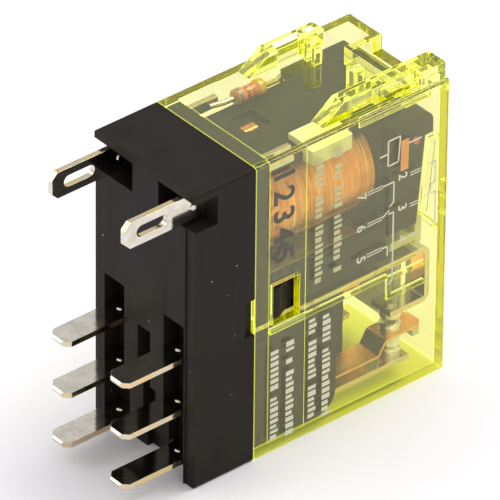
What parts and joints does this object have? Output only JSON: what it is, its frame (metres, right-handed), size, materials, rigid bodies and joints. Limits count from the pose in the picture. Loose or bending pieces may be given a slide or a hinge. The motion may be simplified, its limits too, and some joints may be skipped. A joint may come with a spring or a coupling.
{
  "type": "plug-in relay",
  "caption": "Slim two-pole plug-in relay with flat blade terminals, black moulded base and a clear yellow-green cover over its coil and contacts.",
  "frame": {"origin": "centre of the base's flat seating face, which meets the socket", "axes": "+Z along the relay's long side towards the coil end, +Y from the seating face into the cover, blades towards -Y, +X across its narrow width"},
  "size_m": [0.0126, 0.0332, 0.0313],
  "materials": {
    "base_plastic": "moulded satin black",
    "clear_cover": "clear yellow-green, polished",
    "bobbin_plastic": "moulded, fine grain",
    "copper_winding": "enamelled copper wire",
    "soft_iron": "zinc plated",
    "bronze_spring": "phosphor bronze, satin",
    "tinned_blade": "bright tin plate over brass",
    "contact_silver": "silver alloy, fine turned",
    "card_plastic": "natural moulded",
    "resistor_ceramic": "lacquered, colour bands",
    "cream_block": "potted block",
    "red_led": "clear red lens"
  },
  "bodies": {
    "housing": {"armature_hood": "bobbin_plastic", "base": "base_plastic", "bobbin": "bobbin_plastic", "coil_barrier": "bobbin_plastic", "coil_end_wall": "bobbin_plastic", "coil_terminal_left": "tinned_blade", "coil_terminal_right": "tinned_blade", "coil_winding": "copper_winding", "coil_wire_ends": "copper_winding", "com_terminal_left": "tinned_blade", "com_terminal_right": "tinned_blade", "core": "soft_iron", "cover": "clear_cover", "hinge_spring": "bronze_spring", "indicator_led": "red_led", "nc_contact_left": "contact_silver", "nc_contact_right": "contact_silver", "nc_terminal_left": "tinned_blade", "nc_terminal_right": "tinned_blade", "no_contact_left": "contact_silver", "no_contact_right": "contact_silver", "no_terminal_left": "tinned_blade", "no_terminal_right": "tinned_blade", "resistor": "resistor_ceramic", "resistor_leads": "tinned_blade", "surge_suppressor": "cream_block", "wire_splice": "copper_winding", "yoke": "soft_iron"},
    "armature": {"armature": "soft_iron"},
    "card": {"pusher_card": "card_plastic"},
    "spring_left": {"moving_spring_left": "bronze_spring", "moving_contact_left": "contact_silver"},
    "spring_right": {"moving_spring_right": "bronze_spring", "moving_contact_right": "contact_silver"}
  },
  "joints": [
    {"name": "armature_swing", "type": "hinge", "parent": "housing", "child": "armature", "pos_m": [0, 0.0219, 0.0009], "axis": [1, 0, 0], "range_deg": [0, 8], "stiffness_Nm_per_rad": 0.01, "springref_deg": -8.59},
    {"name": "card_slide", "type": "slide", "parent": "housing", "child": "card", "axis": [0, 0, 1], "range_m": [0, 0.00044]},
    {"name": "spring_lift_left", "type": "hinge", "parent": "housing", "child": "spring_left", "pos_m": [-0.00375, 0.00885, -0.01], "axis": [1, 0, 0], "range_deg": [0, 1.56]},
    {"name": "spring_lift_right", "type": "hinge", "parent": "housing", "child": "spring_right", "pos_m": [0.00375, 0.00885, -0.01], "axis": [1, 0, 0], "range_deg": [0, 1.56]}
  ],
  "couplings": [
    {"joint": "card_slide", "follows": "armature_swing", "m_per_rad": 0.00315},
    {"joint": "spring_lift_left", "follows": "armature_swing", "ratio": 0.19444},
    {"joint": "spring_lift_right", "follows": "armature_swing", "ratio": 0.19444}
  ]
}
